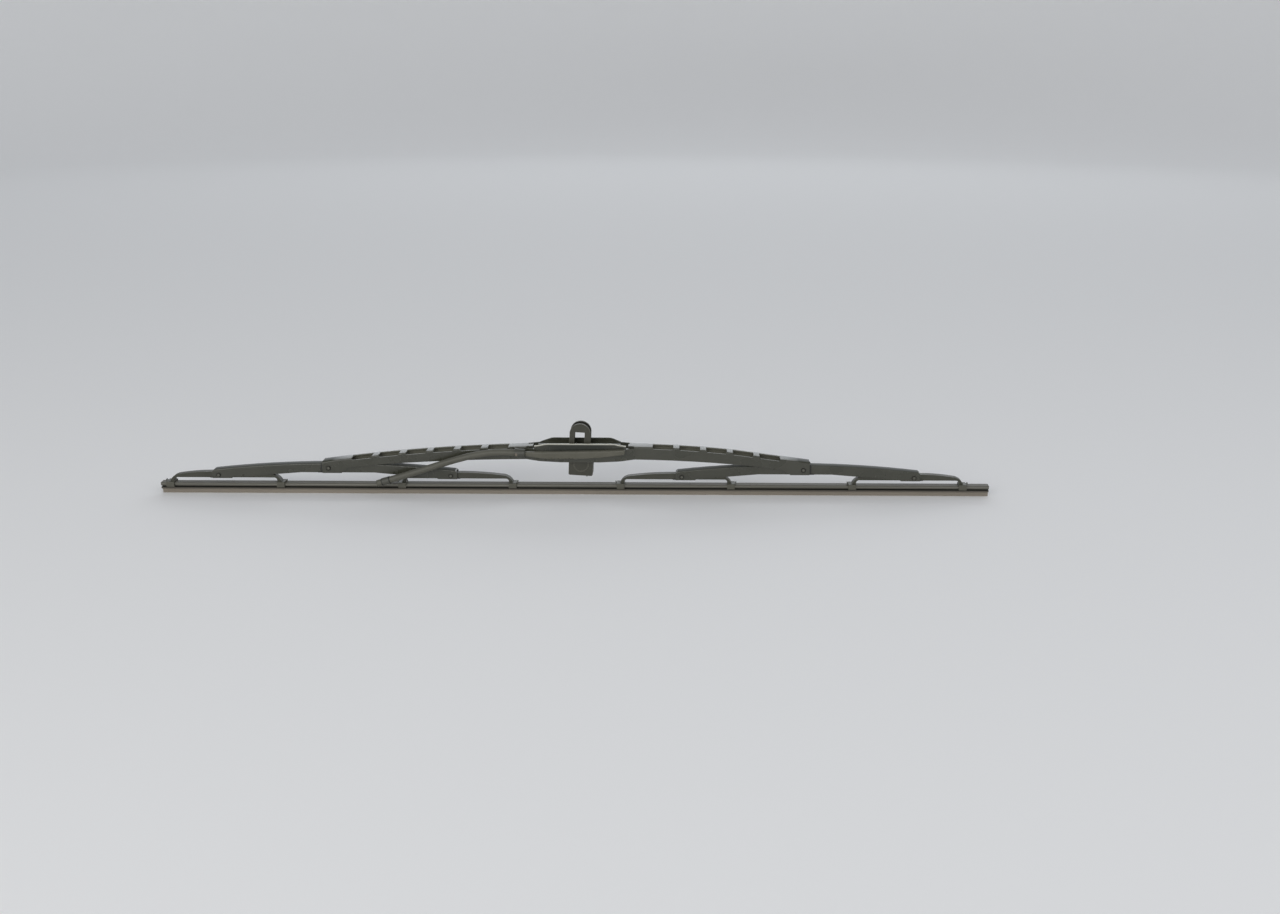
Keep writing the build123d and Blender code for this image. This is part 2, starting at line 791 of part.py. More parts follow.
save("main_bridge", make_main_bridge())
save("centre_pin", make_centre_pin())
save("arm_clip", make_clip())
save("rubber_element", make_rubber())
save("backing_strip_near", make_strip(-1))
save("backing_strip_far", make_strip(1))
save("spray_bar", make_spray_bar())
save("washer_hose", make_hose())
save("hose_collar", hose_ring(along_hose(False), 0, collar_length, collar_wall))
save("hose_end_sleeve", hose_ring(along_hose(True), sleeve_start, sleeve_length, sleeve_wall))

for side_name, side in (("left", -1), ("right", 1)):
    save(f"secondary_lever_{side_name}", make_lever(side))
    save(f"main_bush_{side_name}", make_main_bush(side))
    main_x = on_side(side, main_pivot_reach)
    save(f"main_rivet_{side_name}",
         make_rivet(main_x, main_pivot_z, main_rivet_radius, main_rivet_head_radius, main_half))
    for place, reach, outward in (("outer", outer_yoke_reach, 1), ("inner", inner_yoke_reach, -1)):
        save(f"claw_yoke_{side_name}_{place}", make_yoke(side, reach))
        save(f"yoke_bush_{side_name}_{place}", make_yoke_bush(side, reach, outward))
        save(f"yoke_rivet_{side_name}_{place}",
             make_rivet(on_side(side, reach), yoke_pivot_z, yoke_rivet_radius,
                        yoke_rivet_head_radius, lever_half))
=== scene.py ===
"""Looks of the wiper blade: the bending rubber, the washer hose, materials, light and camera."""

from math import cos, pi, radians, sin

import bpy
from mathutils import Matrix, Vector


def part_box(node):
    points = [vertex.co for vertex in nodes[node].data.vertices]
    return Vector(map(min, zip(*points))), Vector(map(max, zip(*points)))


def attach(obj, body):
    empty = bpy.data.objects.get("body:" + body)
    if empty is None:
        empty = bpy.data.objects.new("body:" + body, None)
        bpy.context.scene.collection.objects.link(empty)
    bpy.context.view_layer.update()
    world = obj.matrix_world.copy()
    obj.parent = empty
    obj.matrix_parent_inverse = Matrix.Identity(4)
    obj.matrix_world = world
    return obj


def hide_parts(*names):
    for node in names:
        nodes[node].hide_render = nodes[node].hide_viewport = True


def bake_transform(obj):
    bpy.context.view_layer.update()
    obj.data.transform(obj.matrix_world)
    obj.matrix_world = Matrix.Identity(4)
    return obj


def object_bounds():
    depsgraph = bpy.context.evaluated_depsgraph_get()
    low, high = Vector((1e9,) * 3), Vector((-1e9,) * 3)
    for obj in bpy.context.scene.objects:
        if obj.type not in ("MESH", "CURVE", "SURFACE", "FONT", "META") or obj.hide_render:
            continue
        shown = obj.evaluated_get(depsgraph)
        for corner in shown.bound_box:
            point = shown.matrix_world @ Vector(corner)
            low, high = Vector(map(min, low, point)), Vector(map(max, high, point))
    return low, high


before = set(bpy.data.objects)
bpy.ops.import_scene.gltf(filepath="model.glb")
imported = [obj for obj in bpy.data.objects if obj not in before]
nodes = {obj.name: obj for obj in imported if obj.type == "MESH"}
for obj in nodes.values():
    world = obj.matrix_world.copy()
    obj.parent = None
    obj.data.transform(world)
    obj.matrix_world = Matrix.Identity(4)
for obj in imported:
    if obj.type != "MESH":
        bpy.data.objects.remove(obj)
cad_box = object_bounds()
MM = 0.001


def scene_settings():
    scene = bpy.context.scene
    scene.view_settings.view_transform = "Standard"
    return scene


def millimetres(node):
    """Corners of a CAD node's box at rest, in millimetres."""
    return [[value / MM for value in corner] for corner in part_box(node)]


# Washer hose: the route's points from the part's source, in metres
HOSE_ROUTE = [
    (-0.0424, -0.011, 0.0015),
    (-0.061, -0.0112, 0.003),
    (-0.0795, -0.011, 0.0006),
    (-0.099, -0.0108, -0.0046),
    (-0.118, -0.0105, -0.0112),
    (-0.1399, -0.0101, -0.0183),
    (-0.1583, -0.0098, -0.0239),
]
HOSE_DIAMETER = 0.0052
HOSE_WALL = 0.001
# Blender's resolutions of the hose's line and of its round outline
HOSE_STEPS, HOSE_ROUNDING = 16, 8

# Rubber and its two steel strips, in millimetres
RUBBER_BOX = millimetres("rubber_element")
LEFT_END, RIGHT_END = RUBBER_BOX[0][0], RUBBER_BOX[1][0]
LIP_TIP, HEAD_TOP = RUBBER_BOX[0][2], RUBBER_BOX[1][2]
HEAD_HALF = RUBBER_BOX[1][1]
HEAD_HEIGHT = 2.5
HEAD_CHAMFER = 0.2
NECK_HALF = 1.1
NECK_HEIGHT = 1.2
SHOULDER_TOP = HEAD_TOP - HEAD_HEIGHT - NECK_HEIGHT
SHOULDER_HALF = 3.0
SHOULDER_SIDE = 0.9
SHOULDER_FOOT = 1.3
SHOULDER_CHAMFER = 0.2
ROUND = 0.4
ROUND_INSET = 0.1
LIP_ROOT_HALF = 0.9
LIP_ROOT_DROP = 2.4
LIP_ROOT_ROUND = 0.3
LIP_HALF = 0.5
LIP_CHAMFER = 0.1
STRIP_INNER = 1.35
STRIP_OUTER = 3.15
STRIP_THICK = 0.8
STRIP_GAP = 0.05
# About how long the straight steps are that a bend is made of
BEND_FACET = 3.0
# Bends beside the clip, which the rubber stays clear of when a lever turns
BEND_STEP = 20.6
RIGHT_BEND = (2.0, 19.0)

# Places on the CAD solids where a finish changes its tone, in metres
INWARDS = 0.4 * MM
SLOT_DEPTH = 4.7 * MM
CLIP_DEPTH = 4.5 * MM
WALL_DEPTH = 6 * MM
WALL_RISE = 2 * MM
WALL_FOOT = 2 * MM
WALL_ENDS = (38 * MM, 16 * MM)
WEB_HALF = 5 * MM
SLOTS_SHIFT = 12 * MM
SLOTS_END = (182 * MM, 162 * MM)
CLAW_TOP = -25.4 * MM
# Near rim of the bridge: level out to RIM_HALF, then down to RIM_END at RIM_FOOT
RIM_HALF, RIM_TOP = 26.5 * MM, 8.7 * MM
RIM_FOOT, RIM_END = 37 * MM, 6.3 * MM
RIM_STRIP = 0.65 * MM
RIM_SOFT = 0.4 * MM
HEAD_SHADE = (1.9 * MM, 0.3 * MM)
SLEEVE_RINGS = (4.3 * MM, 10.5 * MM)
RING_HALF = 0.35 * MM
MARK_PLACE = (-0.0487, 0, 0.0014)
MARK_HALF = (0.8 * MM, 1.3 * MM)
# Parts of a face's normal, and the cosines of an edge's turn
WALL_FACING = 0.7
WEB_FACING = (0.6, 0.9)
EDGE_TURN = (0.98, 0.8)

# Finishes: noises in cells per metre, the used part of their range, and depths in metres
PATCHES, PATCH_DETAIL = 60, 4
GRAINS, GRAIN_DETAIL = 1500, 2
GRAIN_DEPTH = 0.05 * MM
NOISE_RANGE = (0.3, 0.7)
COAT_ROUGHNESS = 0.25
RIVET_GRAINS = 2500
RIVET_RELIEF, RIVET_DEPTH = 0.15, 0.03 * MM
RIVET_EDGE = 0.1 * MM
# Samples of the rounded normals, for the light on edges and for their painted highlight
EDGE_SAMPLES, EDGE_HIGHLIGHT_SAMPLES = 6, 8


# Shader nodes

def new_material(name):
    material = bpy.data.materials.new(name)
    material.use_nodes = True
    tree = material.node_tree
    return material, tree, tree.nodes["Principled BSDF"]


def add(tree, kind, **values):
    """A node of this kind, with its input sockets set by name."""
    node = tree.nodes.new(kind)
    for key, value in values.items():
        node.inputs[key.replace("_", " ")].default_value = value
    return node


def vector_maths(tree, operation, first, second=None):
    """A vector node: its first input is a socket, its second a socket or a constant."""
    node = tree.nodes.new("ShaderNodeVectorMath")
    node.operation = operation
    tree.links.new(first, node.inputs[0])
    if isinstance(second, bpy.types.NodeSocket):
        tree.links.new(second, node.inputs[1])
    elif second is not None:
        node.inputs[1].default_value = second
    return node


def maths(tree, operation, first, second):
    """A sum, product or comparison of two values, each a socket or a number."""
    node = tree.nodes.new("ShaderNodeMath")
    node.operation = operation
    for socket, value in zip(node.inputs, (first, second)):
        if isinstance(value, (int, float)):
            socket.default_value = value
        else:
            tree.links.new(value, socket)
    return node.outputs["Value"]


def product(tree, first, *others):
    result = first
    for other in others:
        result = maths(tree, "MULTIPLY", result, other)
    return result


def mapped(tree, value, start, end, low=0.0, high=1.0):
    """Runs from low at start to high at end, and stays level outside them."""
    node = add(tree, "ShaderNodeMapRange", From_Min=start, From_Max=end, To_Min=low, To_Max=high)
    tree.links.new(value, node.inputs["Value"])
    return node.outputs["Result"]


def part_of(tree, vector, axis):
    node = tree.nodes.new("ShaderNodeSeparateXYZ")
    tree.links.new(vector, node.inputs["Vector"])
    return node.outputs[axis]


def coordinates(tree, kind):
    return tree.nodes.new("ShaderNodeTexCoord").outputs[kind]


def place(tree, axis):
    """One coordinate in the object's own frame."""
    return part_of(tree, coordinates(tree, "Object"), axis)


def facing(tree, axis):
    """One part of the surface's normal in the object's own frame."""
    return part_of(tree, coordinates(tree, "Normal"), axis)


def noise(tree, scale, detail, stretch=(1, 1, 1)):
    """Noise in the object's own coordinates; scale is in cells per metre."""
    mapping = add(tree, "ShaderNodeMapping", Scale=stretch)
    field = add(tree, "ShaderNodeTexNoise", Scale=scale, Detail=detail)
    tree.links.new(coordinates(tree, "Object"), mapping.inputs["Vector"])
    tree.links.new(mapping.outputs["Vector"], field.inputs["Vector"])
    return field.outputs["Fac"]


def ramp(tree, factor, stops):
    node = tree.nodes.new("ShaderNodeValToRGB")
    elements = node.color_ramp.elements
    while len(elements) < len(stops):
        elements.new(0.5)
    for element, (position, colour) in zip(elements, stops):
        element.position = position
        element.color = (*colour, 1)
    tree.links.new(factor, node.inputs["Fac"])
    return node.outputs["Color"]


def blended(tree, factor, first, second):
    """The first colour, with the second laid over it where the factor is 1."""
    node = tree.nodes.new("ShaderNodeMix")
    node.data_type = "RGBA"
    tree.links.new(factor, node.inputs["Factor"])
    tree.links.new(first, node.inputs["A"])
    node.inputs["B"].default_value = (*second, 1)
    return node.outputs["Result"]


def grain(tree, shader, height, strength, distance, edge=0.0):
    """Fine relief, on edges that catch the light as if they were rounded by this much."""
    bump = add(tree, "ShaderNodeBump", Strength=strength, Distance=distance)
    tree.links.new(height, bump.inputs["Height"])
    if edge:
        bevel = add(tree, "ShaderNodeBevel", Radius=edge)
        bevel.samples = EDGE_SAMPLES
        tree.links.new(bevel.outputs["Normal"], bump.inputs["Normal"])
    tree.links.new(bump.outputs["Normal"], shader.inputs["Normal"])


# Masks, which are 1 where a tone is laid over a finish, and what they are made from

def from_pin(tree, shift=0.0):
    """Distance along the blade from the arm pin, or from a place this far to its left."""
    return maths(tree, "ABSOLUTE", maths(tree, "ADD", place(tree, "X"), shift), 0)


def below(tree, level):
    return maths(tree, "LESS_THAN", place(tree, "Z"), level)


def inner_faces(tree, depth):
    """Faces that look towards the blade's middle plane and lie within this depth of it; they carry the
    painted light inside the slots and the painted shade inside the clip.
    """
    y = place(tree, "Y")
    inwards = maths(tree, "LESS_THAN", product(tree, y, facing(tree, "Y")), -INWARDS)
    return product(tree, inwards, maths(tree, "LESS_THAN", maths(tree, "ABSOLUTE", y, 0), depth))


def painted_wall_shade(tree, depth):
    """Painted shade on the near wall's upper part where it stands out past this depth, fading at its ends.
    """
    outwards = maths(tree, "LESS_THAN", facing(tree, "Y"), -WALL_FACING)
    stands_out = mapped(tree, place(tree, "Y"), -depth, -depth - WALL_RISE)
    upper = maths(tree, "SUBTRACT", 1, below(tree, WALL_FOOT))
    return product(tree, outwards, stands_out, upper, mapped(tree, from_pin(tree), *WALL_ENDS))


def far_wall(tree, depth):
    """All that lies further back from the middle plane than this depth."""
    return maths(tree, "GREATER_THAN", place(tree, "Y"), depth)


def painted_rim_highlight(tree, height):
    """A painted highlight along the near wall's rim, down to this far below its top."""
    top = mapped(tree, from_pin(tree), RIM_HALF, RIM_FOOT, RIM_TOP, RIM_END)
    drop = maths(tree, "SUBTRACT", place(tree, "Z"), top)
    strip = mapped(tree, drop, -height - RIM_SOFT, -height + RIM_SOFT)
    return product(tree, strip, maths(tree, "LESS_THAN", place(tree, "Y"), -WALL_DEPTH))


def webs(tree):
    """Faces that look up: the webs of the folded channels."""
    return mapped(tree, facing(tree, "Z"), *WEB_FACING)


def painted_web_sheen(tree, half):
    """Painted reflection on the webs, rising from the near fold to the far one, this far from the middle
    plane.
    """
    return product(tree, webs(tree), mapped(tree, place(tree, "Y"), -half, half))


def along_slots(tree):
    """The bridge's length with slots, fading out towards its ends."""
    return mapped(tree, from_pin(tree, SLOTS_SHIFT), *SLOTS_END)


def painted_edge_highlight(tree, radius):
    """Sharp edges, with a painted highlight as if they caught more light."""
    bevel = add(tree, "ShaderNodeBevel", Radius=radius)
    bevel.samples = EDGE_HIGHLIGHT_SAMPLES
    flat = tree.nodes.new("ShaderNodeNewGeometry")
    turn = vector_maths(tree, "DOT_PRODUCT", bevel.outputs["Normal"], flat.outputs["Normal"])
    return mapped(tree, turn.outputs["Value"], *EDGE_TURN)


def painted_head_shade(tree, level):
    """The lip from this level, fading out on the way down: painted shade under the head."""
    return mapped(tree, place(tree, "Z"), *[level - drop for drop in HEAD_SHADE])


def painted_ring_shadows(tree, distances):
    """Painted shadows: thin rings at these two distances from the hose's open end."""
    end, before = Vector(HOSE_ROUTE[-1]), Vector(HOSE_ROUTE[-2])
    away = vector_maths(tree, "SUBTRACT", coordinates(tree, "Object"), end)
    along = vector_maths(tree, "DOT_PRODUCT", away.outputs["Vector"], (before - end).normalized())
    rings = [maths(tree, "COMPARE", along.outputs["Value"], distance) for distance in distances]
    for ring in rings:
        ring.node.inputs[2].default_value = RING_HALF
    return maths(tree, "MAXIMUM", *rings)


def pale_spot(tree, centre):
    """A small upright pale spot round this place."""
    away = vector_maths(tree, "SUBTRACT", coordinates(tree, "Object"), centre)
    size = add(tree, "ShaderNodeMapping", Scale=(1 / MARK_HALF[0], 0, 1 / MARK_HALF[1]))
    tree.links.new(away.outputs["Vector"], size.inputs["Vector"])
    length = vector_maths(tree, "LENGTH", size.outputs["Vector"])
    return maths(tree, "LESS_THAN", length.outputs["Value"], 1)


# Finishes

def surface(name, dark, light, rough, relief, stretch=(1, 1, 1), metal=0.0, coat=0.0, edge=0.15 * MM,
            tones=(), web_gloss=None):
    """A moulded or painted finish: slow changes of colour and gloss, and a fine relief.

    Each of the tones is a mask, its argument and the colour laid over where the mask is 1.
    web_gloss is the share of its gloss that a folded channel's web keeps along the slots,
    and elsewhere the web keeps none, because it would mirror the pale studio.
    """
    material, tree, shader = new_material(name)
    slow = noise(tree, PATCHES, PATCH_DETAIL, stretch)
    colour = ramp(tree, slow, list(zip(NOISE_RANGE, (dark, light))))
    for mask, argument, tone in tones:
        colour = blended(tree, mask(tree, argument), colour, tone)
    tree.links.new(colour, shader.inputs["Base Color"])
    tree.links.new(mapped(tree, slow, *NOISE_RANGE, *rough), shader.inputs["Roughness"])
    shader.inputs["Metallic"].default_value = metal
    shader.inputs["Coat Weight"].default_value = coat
    shader.inputs["Coat Roughness"].default_value = COAT_ROUGHNESS
    if web_gloss is not None:
        kept = product(tree, along_slots(tree), web_gloss)
        lost = product(tree, webs(tree), maths(tree, "SUBTRACT", 1, kept))
        share = maths(tree, "SUBTRACT", 1, lost)
        full = shader.inputs["Specular IOR Level"].default_value
        tree.links.new(product(tree, share, full), shader.inputs["Specular IOR Level"])
        tree.links.new(product(tree, share, coat), shader.inputs["Coat Weight"])
    grain(tree, shader, noise(tree, GRAINS, GRAIN_DETAIL, stretch), relief, GRAIN_DEPTH, edge)
    return material


def rivet_finish():
    """Rivet heads: bare steel in the middle, and a painted shadow round the rim, darker than the paint."""
    material, tree, shader = new_material("rivet_steel")
    centre = add(tree, "ShaderNodeMapping", Location=(-1, 0, -1), Scale=(2, 0, 2))
    tree.links.new(coordinates(tree, "Generated"), centre.inputs["Vector"])
    radius = vector_maths(tree, "LENGTH", centre.outputs["Vector"])
    stops = [
        (0.0, (0.17, 0.168, 0.14)),
        (0.55, (0.11, 0.108, 0.088)),
        # Painted shadow round the head's rim
        (0.68, (0.018, 0.018, 0.013)),
        (1.0, (0.024, 0.024, 0.018)),
    ]
    tree.links.new(ramp(tree, radius.outputs["Value"], stops), shader.inputs["Base Color"])
    shader.inputs["Metallic"].default_value = 0.5
    shader.inputs["Roughness"].default_value = 0.38
    grain(tree, shader, noise(tree, RIVET_GRAINS, GRAIN_DETAIL), RIVET_RELIEF, RIVET_DEPTH, RIVET_EDGE)
    return material


# Grain drawn out along the blade
ALONG = (0.06, 1, 1)
PAINT = dict(dark=(0.038, 0.0385, 0.026), light=(0.05, 0.05, 0.036), rough=(0.24, 0.33), relief=0.12,
             coat=0.4, edge=0.2 * MM)
# Painted light: the slots' inner faces, lighter than the paint, as if lit through the slots
SLOT_PAINTED_LIGHT = (inner_faces, SLOT_DEPTH, (0.13, 0.128, 0.1))
# Painted reflection: the channels' webs lighter towards their far fold
WEB_PAINTED_SHEEN = (painted_web_sheen, WEB_HALF, (0.3, 0.31, 0.31))
# Painted highlight along sharp edges
EDGE_PAINTED_HIGHLIGHT = (painted_edge_highlight, 0.3 * MM, (0.125, 0.122, 0.096))
BRIDGE_TONES = [
    SLOT_PAINTED_LIGHT,
    WEB_PAINTED_SHEEN,
    # Painted shade on the near wall of the middle part
    (painted_wall_shade, WALL_DEPTH, (0.006, 0.008, 0.002)),
    EDGE_PAINTED_HIGHLIGHT,
    (far_wall, WALL_DEPTH, (0.042, 0.043, 0.03)),
    # Painted highlight along the near rim
    (painted_rim_highlight, RIM_STRIP, (0.52, 0.51, 0.44)),
]
# Painted shade on the clip's inner faces, and a painted highlight along its edges
CLIP_PAINTED_SHADE_AND_HIGHLIGHT = [
    (inner_faces, CLIP_DEPTH, (0.01, 0.009, 0.005)),
    (painted_edge_highlight, 0.5 * MM, (0.19, 0.185, 0.145)),
]
SLEEVE_TONES = [
    (pale_spot, MARK_PLACE, (0.17, 0.14, 0.11)),
    # Painted shadows as dark rings near the hose's end
    (painted_ring_shadows, SLEEVE_RINGS, (0.006, 0.006, 0.004)),
]
paint = surface("painted_steel", **PAINT, web_gloss=0.0, tones=[SLOT_PAINTED_LIGHT, WEB_PAINTED_SHEEN, EDGE_PAINTED_HIGHLIGHT])
bridge_paint = surface("bridge_paint", **PAINT, web_gloss=0.32, tones=BRIDGE_TONES)
yoke_paint = surface("yoke_paint", (0.04, 0.0405, 0.028), (0.054, 0.054, 0.039), (0.42, 0.55), 0.15,
                     edge=0.2 * MM, tones=[(below, CLAW_TOP, (0.085, 0.082, 0.062)), EDGE_PAINTED_HIGHLIGHT])
rivet_steel = rivet_finish()
spring_steel = surface("spring_steel", (0.2, 0.197, 0.17), (0.28, 0.275, 0.24), (0.4, 0.55), 0.1,
                       stretch=ALONG, metal=0.8)
bush_plastic = surface("bush_plastic", (0.012, 0.012, 0.01), (0.02, 0.02, 0.016), (0.45, 0.6), 0.2)
clip_plastic = surface("clip_plastic", (0.041, 0.0405, 0.028), (0.055, 0.053, 0.039), (0.45, 0.6), 0.3,
                       tones=CLIP_PAINTED_SHADE_AND_HIGHLIGHT)
bar_plastic = surface("spray_bar_plastic", (0.085, 0.082, 0.06), (0.105, 0.1, 0.076), (0.35, 0.5), 0.2)
hose_rubber = surface("hose_rubber", (0.075, 0.074, 0.056), (0.1, 0.097, 0.076), (0.45, 0.62), 0.25,
                      edge=0)
sleeve_rubber = surface("sleeve_rubber", (0.05, 0.05, 0.04), (0.07, 0.07, 0.056), (0.4, 0.55), 0.2,
                        tones=SLEEVE_TONES)
head_rubber = surface("head_rubber", (0.084, 0.08, 0.063), (0.112, 0.106, 0.085), (0.5, 0.7), 0.3,
                      stretch=ALONG, edge=0)
lip_rubber = surface("lip_rubber", (0.22, 0.193, 0.155), (0.28, 0.248, 0.203), (0.55, 0.75), 0.3,
                     stretch=ALONG, edge=0,
                     tones=[(painted_head_shade, SHOULDER_TOP * MM, (0.02, 0.018, 0.011))])
# Painted shade: the neck, far darker than the head and lip, stands for the shadow in the groove under the
# head
neck_painted_shade = surface("neck_painted_shade", (0.011, 0.011, 0.007), (0.017, 0.016, 0.011), (0.6, 0.8), 0.3,
                      stretch=ALONG, edge=0)


def finish_of(name):
    """The finish of a CAD node, from its name."""
    if name == "main_bridge":
        return bridge_paint
    if name.startswith("claw_yoke"):
        return yoke_paint
    if name.startswith(("main_rivet", "yoke_rivet", "centre_pin")):
        return rivet_steel
    if name.startswith(("main_bush", "yoke_bush")):
        return bush_plastic
    if name.startswith("backing_strip"):
        return spring_steel
    if name == "arm_clip":
        return clip_plastic
    if name == "spray_bar":
        return bar_plastic
    if name in ("hose_collar", "hose_end_sleeve"):
        return sleeve_rubber
    if name in ("washer_hose", "rubber_element"):
        return hose_rubber
    return paint


def paint_nodes():
    for name, node in nodes.items():
        node.data.materials.clear()
        node.data.materials.append(finish_of(name))


# Washer hose

def make_hose():
    curve = bpy.data.curves.new("washer_hose_line", "CURVE")
    curve.dimensions = "3D"
    curve.resolution_u = HOSE_STEPS
    curve.bevel_depth = HOSE_DIAMETER / 2
    curve.bevel_resolution = HOSE_ROUNDING
    spline = curve.splines.new("NURBS")
    spline.points.add(len(HOSE_ROUTE) - 1)
    for point, position in zip(spline.points, HOSE_ROUTE):
        point.co = (*position, 1)
    spline.order_u = 3
    spline.use_endpoint_u = True
    hose = bpy.data.objects.new("washer_hose_line", curve)
    bpy.context.collection.objects.link(hose)
    wall = hose.modifiers.new("wall", "SOLIDIFY")
    wall.thickness = HOSE_WALL
    wall.offset = -1
    curve.materials.append(hose_rubber)
    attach(hose, "bridge")
    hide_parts("washer_hose")


# Rubber and strips: eight lengths end to end

# Numbers of the rubber's finishes
HEAD, NECK, LIP = 0, 1, 2


def rubber_section():
    """Half section from the crown down, as (y, z, finish of the face that follows)."""
    groove = HEAD_TOP - HEAD_HEIGHT / 2 + STRIP_THICK / 2 + STRIP_GAP
    groove_foot = groove - STRIP_THICK - 2 * STRIP_GAP
    groove_half = STRIP_INNER - STRIP_GAP
    neck = HEAD_TOP - HEAD_HEIGHT
    lip_root = SHOULDER_TOP - LIP_ROOT_DROP
    return [
        (0.0, HEAD_TOP, HEAD),
        (HEAD_HALF - ROUND, HEAD_TOP, HEAD),
        (HEAD_HALF - ROUND_INSET, HEAD_TOP - ROUND_INSET, HEAD),
        (HEAD_HALF, HEAD_TOP - ROUND, HEAD),
        (HEAD_HALF, groove, HEAD),
        (groove_half, groove, HEAD),
        (groove_half, groove_foot, HEAD),
        (HEAD_HALF, groove_foot, HEAD),
        (HEAD_HALF, neck + HEAD_CHAMFER, HEAD),
        (HEAD_HALF - HEAD_CHAMFER, neck, NECK),
        (NECK_HALF, neck, NECK),
        (NECK_HALF, SHOULDER_TOP, NECK),
        (SHOULDER_HALF - ROUND, SHOULDER_TOP, LIP),
        (SHOULDER_HALF - ROUND_INSET, SHOULDER_TOP - ROUND_INSET, LIP),
        (SHOULDER_HALF, SHOULDER_TOP - ROUND, LIP),
        (SHOULDER_HALF, SHOULDER_TOP - SHOULDER_SIDE, LIP),
        (SHOULDER_HALF - SHOULDER_CHAMFER, SHOULDER_TOP - SHOULDER_FOOT, LIP),
        (LIP_ROOT_HALF + LIP_ROOT_ROUND, lip_root + LIP_ROOT_ROUND, LIP),
        (LIP_ROOT_HALF, lip_root, LIP),
        (LIP_HALF, LIP_TIP + LIP_CHAMFER, LIP),
        (LIP_HALF - LIP_CHAMFER, LIP_TIP, LIP),
    ]


def strip_section(side):
    """Section of one strip, as (y, z, finish), on the near side (-1) or the far one (1)."""
    middle = HEAD_TOP - HEAD_HEIGHT / 2
    low, high = middle - STRIP_THICK / 2, middle + STRIP_THICK / 2
    corners = [(STRIP_INNER, low), (STRIP_OUTER, low), (STRIP_OUTER, high), (STRIP_INNER, high)]
    return [(side * y, z, 0) for y, z in corners]


def yoke_span(place):
    """First, middle and last x of a yoke, whose claws hold the rubber."""
    low, high = millimetres(f"claw_yoke_{place}")
    return low[0], (low[0] + high[0]) / 2, high[0]


def lengths():
    """The eight lengths from left to right: (body, next body, first x, last x, bend start, bend end)."""
    outer_end = yoke_span("left_outer")[2]
    left_start, left_inner, left_end = yoke_span("left_inner")
    right_start, right_inner, right_end = yoke_span("right_inner")
    outer_start = yoke_span("right_outer")[0]
    left_mid, right_mid = (outer_end + left_start) / 2, (right_end + outer_start) / 2
    left_bend, bridge_start = left_end + BEND_STEP, left_end + 2 * BEND_STEP
    bridge_end, right_bend = RIGHT_BEND
    return [
        ("yoke_left_outer", "lever_left", LEFT_END, left_mid, outer_end, left_mid),
        ("lever_left", "yoke_left_inner", left_mid, left_inner, left_mid, left_start),
        ("yoke_left_inner", "lever_left", left_inner, left_bend, left_end, left_bend),
        ("lever_left", "bridge", left_bend, bridge_start, left_bend, bridge_start),
        ("bridge", "lever_right", bridge_start, right_bend, bridge_end, right_bend),
        ("lever_right", "yoke_right_inner", right_bend, right_inner, right_bend, right_start),
        ("yoke_right_inner", "lever_right", right_inner, right_mid, right_end, right_mid),
        ("lever_right", "yoke_right_outer", right_mid, RIGHT_END, right_mid, outer_start),
    ]


def extruded(name, outline, first_x, last_x, materials):
    """A closed outline of (y, z, finish) drawn along X in short steps, so that it can bend."""
    steps = max(2, round((last_x - first_x) / BEND_FACET))
    count = len(outline)
    points = []
    for number in range(steps + 1):
        x = first_x + (last_x - first_x) * number / steps
        points += [(x * MM, y * MM, z * MM) for y, z, _ in outline]
    faces, finishes = [], []
    for number in range(steps):
        for k in range(count):
            corner, following = number * count + k, number * count + (k + 1) % count
            faces.append((corner, following, following + count, corner + count))
            finishes.append(outline[k][2])
    if first_x == LEFT_END:
        faces.append(tuple(reversed(range(count))))
        finishes.append(outline[0][2])
    if last_x == RIGHT_END:
        faces.append(tuple(steps * count + k for k in range(count)))
        finishes.append(outline[0][2])
    mesh = bpy.data.meshes.new(name)
    mesh.from_pydata(points, [], faces)
    for material in materials:
        mesh.materials.append(material)
    for face, finish in zip(mesh.polygons, finishes):
        face.material_index = finish
    mesh.validate()
    piece = bpy.data.objects.new(name, mesh)
    bpy.context.collection.objects.link(piece)
    return piece


def make_rubber():
    half = rubber_section()
    far_side = [(-half[k][0], half[k][1], half[k - 1][2]) for k in range(len(half) - 1, 0, -1)]
    outline = half + far_side
    strips = {"near": strip_section(-1), "far": strip_section(1)}
    finishes = [head_rubber, neck_painted_shade, lip_rubber]
    for number, (body, next_body, first_x, last_x, start, end) in enumerate(lengths(), 1):
        rubber = extruded(f"rubber_length_{number}", outline, first_x, last_x, finishes)
        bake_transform(rubber)
        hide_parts("rubber_element")
        for side_name, section in strips.items():
            strip = extruded(f"strip_{side_name}_length_{number}", section, first_x, last_x, [spring_steel])
            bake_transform(strip)
            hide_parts(f"backing_strip_{side_name}")


# Studio, in metres

FLOOR_FLAT = 3.2
FLOOR_BEND = 0.6
FLOOR_TOP = 0.7
FLOOR_RINGS = (0.001, 1.0, 2.0, FLOOR_FLAT)
FLOOR_STEPS = 12
FLOOR_SEGMENTS = 64
FLOOR_TONE = (0.86, 0.86, 0.86, 1)
SKY = [(0.1, (0.76, 0.78, 0.8)), (0.75, (0.36, 0.37, 0.39))]
# Soft lamps, aimed at the blade's middle: place, size, watts and colour
LAMPS = {
    "key": ((-0.8, -1.8, 0.8), (1.6, 0.9), 15, (1, 0.985, 0.96)),
    "fill": ((1.3, -1.0, 1.1), (1.0, 1.0), 5, (0.97, 0.98, 1)),
    "back": ((0.6, 4.6, 1.7), (6.0, 2.2), 62, (0.93, 0.97, 1)),
}


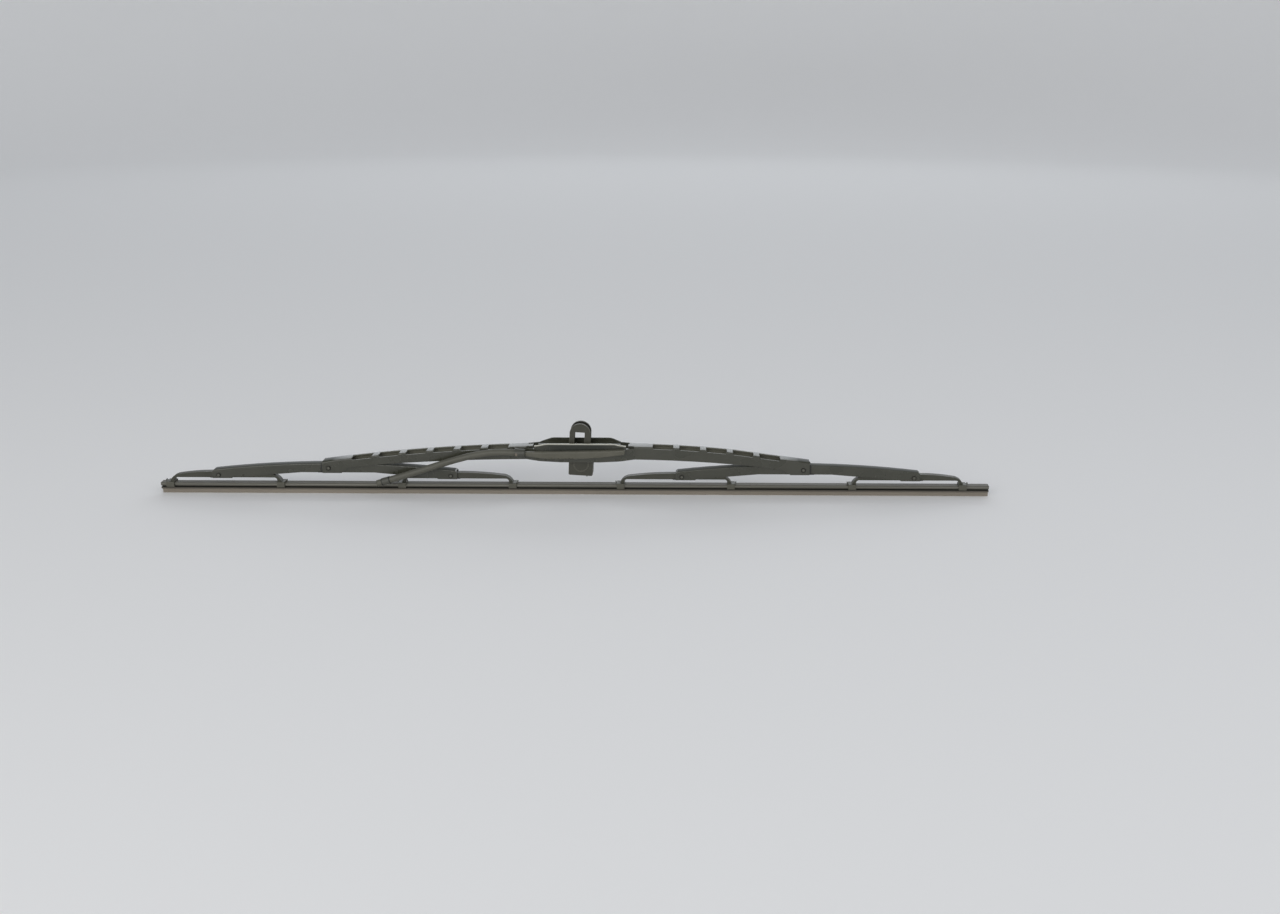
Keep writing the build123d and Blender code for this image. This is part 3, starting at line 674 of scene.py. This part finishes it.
def turned_profile(name, profile, segments):
    """A surface of revolution about Z, from a profile of (radius, z)."""
    count = len(profile)
    points = []
    for number in range(segments):
        angle = 2 * pi * number / segments
        points += [(r * cos(angle), r * sin(angle), z) for r, z in profile]
    faces = []
    for number in range(segments):
        first, second = number * count, (number + 1) % segments * count
        for k in range(count - 1):
            faces.append((first + k, second + k, second + k + 1, first + k + 1))
    mesh = bpy.data.meshes.new(name)
    mesh.from_pydata(points, [], faces)
    mesh.polygons.foreach_set("use_smooth", [True] * len(faces))
    piece = bpy.data.objects.new(name, mesh)
    bpy.context.collection.objects.link(piece)
    return piece


def make_floor(level):
    """A pale floor that curves up into a low wall all round."""
    profile = [(radius, level) for radius in FLOOR_RINGS]
    for number in range(1, FLOOR_STEPS + 1):
        angle = pi / 2 * number / FLOOR_STEPS
        profile.append((FLOOR_FLAT + FLOOR_BEND * sin(angle), level + FLOOR_BEND * (1 - cos(angle))))
    profile.append((FLOOR_FLAT + FLOOR_BEND, level + FLOOR_TOP))
    floor = turned_profile("studio_floor", profile, FLOOR_SEGMENTS)
    material, tree, shader = new_material("studio_floor")
    shader.inputs["Base Color"].default_value = FLOOR_TONE
    shader.inputs["Roughness"].default_value = 0.9
    shader.inputs["Specular IOR Level"].default_value = 0.1
    floor.data.materials.append(material)


def make_sky():
    """A plain sky, paler near the horizon than overhead."""
    world = bpy.data.worlds.new("studio")
    bpy.context.scene.world = world
    world.use_nodes = True
    tree = world.node_tree
    height = part_of(tree, coordinates(tree, "Generated"), "Z")
    tree.links.new(ramp(tree, height, SKY), tree.nodes["Background"].inputs["Color"])


def make_lamps():
    for name, (position, size, watts, colour) in LAMPS.items():
        light = bpy.data.lights.new(name, "AREA")
        light.shape = "RECTANGLE"
        light.size, light.size_y = size
        light.energy = watts
        light.color = colour
        lamp = bpy.data.objects.new(name, light)
        bpy.context.collection.objects.link(lamp)
        lamp.location = position
        lamp.visible_camera = False
        lamp.rotation_euler = (-Vector(position)).to_track_quat("-Z", "Y").to_euler()


# Camera: the photo's place and lens, for a picture of 1280 by 914
PICTURE_WIDTH = 1280
CAMERA_PLACE = (0.0938, -0.9686, 0.3038)
CAMERA_DROP = 17.64
CAMERA_ROLL = 0.269
FOCAL_PIXELS = 1300
CENTRE_PIXEL = 701.1
SENSOR_WIDTH = 36


def make_camera(scene):
    data = bpy.data.cameras.new("camera")
    data.sensor_width = SENSOR_WIDTH
    data.lens = FOCAL_PIXELS * SENSOR_WIDTH / PICTURE_WIDTH
    data.shift_x = (PICTURE_WIDTH / 2 - CENTRE_PIXEL) / PICTURE_WIDTH
    data.clip_start = 0.01
    data.clip_end = 50
    camera = bpy.data.objects.new("camera", data)
    bpy.context.collection.objects.link(camera)
    drop = Matrix.Rotation(radians(90 - CAMERA_DROP), 4, "X")
    roll = Matrix.Rotation(radians(CAMERA_ROLL), 4, "Z")
    camera.matrix_world = Matrix.Translation(CAMERA_PLACE) @ drop @ roll
    scene.camera = camera


scene = scene_settings()
make_camera(scene)
paint_nodes()
make_hose()
make_rubber()
make_floor(cad_box[0][2])
make_sky()
make_lamps()
